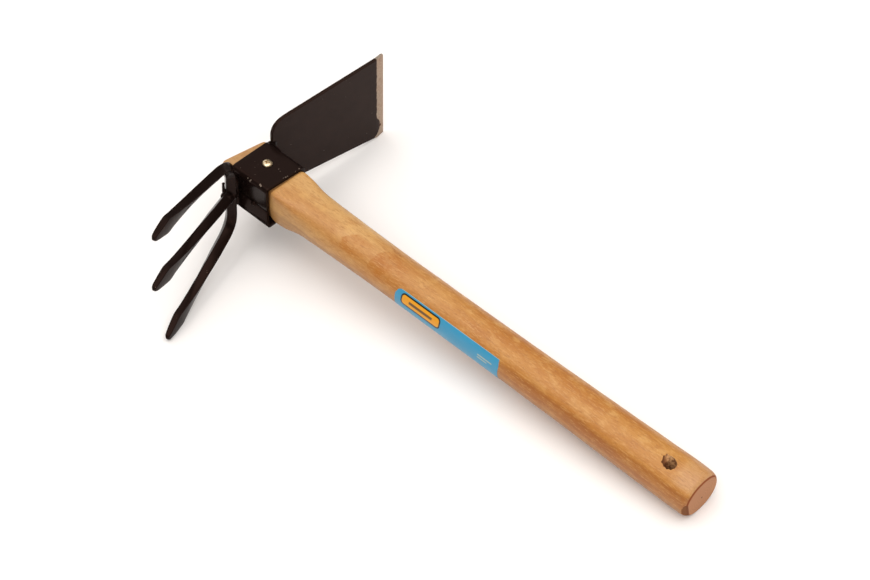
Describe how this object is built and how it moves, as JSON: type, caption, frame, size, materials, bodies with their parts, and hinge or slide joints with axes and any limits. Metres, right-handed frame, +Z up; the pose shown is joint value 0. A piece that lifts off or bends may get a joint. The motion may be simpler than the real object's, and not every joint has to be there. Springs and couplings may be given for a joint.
{
  "type": "hand cultivator",
  "caption": "Short-handled garden hand cultivator: a folded steel socket on a turned wooden handle, with a hoe blade welded to one side and a forked set of tines to the other.",
  "frame": {"origin": "middle of the whole tool's box, on the ground it lies on", "axes": "+Z up; +X along the handle, from the head towards the butt; +Y towards the hoe blade, -Y towards the tines"},
  "size_m": [0.4048, 0.2366, 0.1088],
  "materials": {
    "ash_wood": "thin clear varnish over pale hardwood with orange-brown patches",
    "black_lacquer": "glossy black-brown lacquer over steel, worn to bare steel along the blade's cutting edge",
    "yellow_zinc": "yellow zinc plating, bright and a little scuffed",
    "printed_film": "thin printed plastic film, satin"
  },
  "bodies": {
    "root": {"handle": "ash_wood", "socket": "black_lacquer", "blade": "black_lacquer", "fork_bar": "black_lacquer", "middle_tine": "black_lacquer", "blade_weld_front": "black_lacquer", "blade_weld_back": "black_lacquer", "fork_weld": "black_lacquer", "middle_tine_weld": "black_lacquer", "crossbar_bead": "black_lacquer", "seam_weld": "black_lacquer", "screw": "yellow_zinc", "label": "printed_film"}
  },
  "joints": []
}
